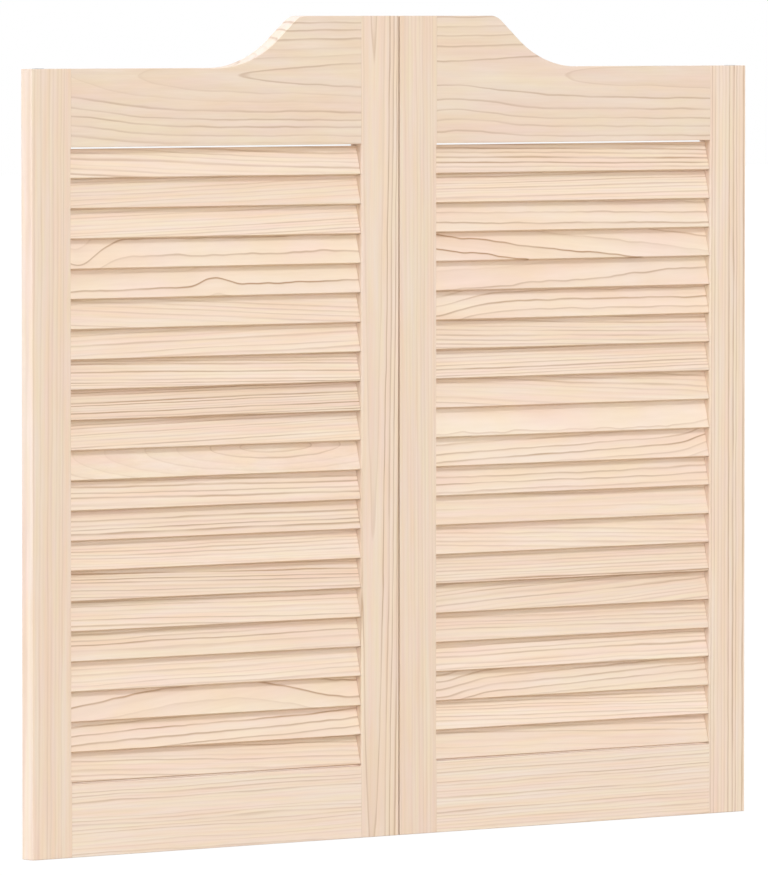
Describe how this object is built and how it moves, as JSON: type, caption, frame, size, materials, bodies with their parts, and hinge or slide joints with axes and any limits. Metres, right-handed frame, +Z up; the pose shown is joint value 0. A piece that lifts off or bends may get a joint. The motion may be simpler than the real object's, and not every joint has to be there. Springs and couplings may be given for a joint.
{
  "type": "louvred cafe doors",
  "caption": "Pair of louvred pine cafe doors with an S-shaped top edge, hung on concealed sprung pivots so that each leaf swings both ways and returns to closed.",
  "frame": {"origin": "on the meeting line of the two leaves, at mid thickness, level with the lower pivot pins' end faces", "axes": "+X across the pair to the right as seen from the front, +Z up, the front faces -Y"},
  "size_m": [0.9, 0.017, 0.8004],
  "materials": {
    "stile_pine": "planed bare pine, straight grain along the stile",
    "rail_pine": "planed bare pine, grain along the rail",
    "slat_pine": "planed bare pine with rounded edges, grain along the slat",
    "pivot_steel": "turned, zinc plated",
    "spring_steel": "drawn wire, oiled",
    "bush_nylon": "moulded, natural"
  },
  "bodies": {
    "jamb_pivots": {"left_lower_pivot_pin": "pivot_steel", "left_upper_pivot_pin": "pivot_steel", "right_lower_pivot_pin": "pivot_steel", "right_upper_pivot_pin": "pivot_steel"},
    "left_leaf": {"left_outer_stile": "stile_pine", "left_meeting_stile": "stile_pine", "left_top_rail": "rail_pine", "left_bottom_rail": "rail_pine", "left_slat_01": "slat_pine", "left_slat_02": "slat_pine", "left_slat_03": "slat_pine", "left_slat_04": "slat_pine", "left_slat_05": "slat_pine", "left_slat_06": "slat_pine", "left_slat_07": "slat_pine", "left_slat_08": "slat_pine", "left_slat_09": "slat_pine", "left_slat_10": "slat_pine", "left_slat_11": "slat_pine", "left_slat_12": "slat_pine", "left_slat_13": "slat_pine", "left_slat_14": "slat_pine", "left_slat_15": "slat_pine", "left_slat_16": "slat_pine", "left_slat_17": "slat_pine", "left_slat_18": "slat_pine", "left_slat_19": "slat_pine", "left_slat_20": "slat_pine", "left_slat_21": "slat_pine", "left_lower_bush": "bush_nylon", "left_upper_bush": "bush_nylon", "left_return_spring": "spring_steel"},
    "right_leaf": {"right_outer_stile": "stile_pine", "right_meeting_stile": "stile_pine", "right_top_rail": "rail_pine", "right_bottom_rail": "rail_pine", "right_slat_01": "slat_pine", "right_slat_02": "slat_pine", "right_slat_03": "slat_pine", "right_slat_04": "slat_pine", "right_slat_05": "slat_pine", "right_slat_06": "slat_pine", "right_slat_07": "slat_pine", "right_slat_08": "slat_pine", "right_slat_09": "slat_pine", "right_slat_10": "slat_pine", "right_slat_11": "slat_pine", "right_slat_12": "slat_pine", "right_slat_13": "slat_pine", "right_slat_14": "slat_pine", "right_slat_15": "slat_pine", "right_slat_16": "slat_pine", "right_slat_17": "slat_pine", "right_slat_18": "slat_pine", "right_slat_19": "slat_pine", "right_slat_20": "slat_pine", "right_slat_21": "slat_pine", "right_lower_bush": "bush_nylon", "right_upper_bush": "bush_nylon", "right_return_spring": "spring_steel"}
  },
  "joints": [
    {"name": "left_swing", "type": "hinge", "parent": "jamb_pivots", "child": "left_leaf", "pos_m": [-0.436, 0, 0], "axis": [0, 0, 1], "range_deg": [-90, 90], "stiffness_Nm_per_rad": 0.13, "deforming": ["left_return_spring"]},
    {"name": "right_swing", "type": "hinge", "parent": "jamb_pivots", "child": "right_leaf", "pos_m": [0.436, 0, 0], "axis": [0, 0, -1], "range_deg": [-90, 90], "stiffness_Nm_per_rad": 0.13, "deforming": ["right_return_spring"]}
  ]
}
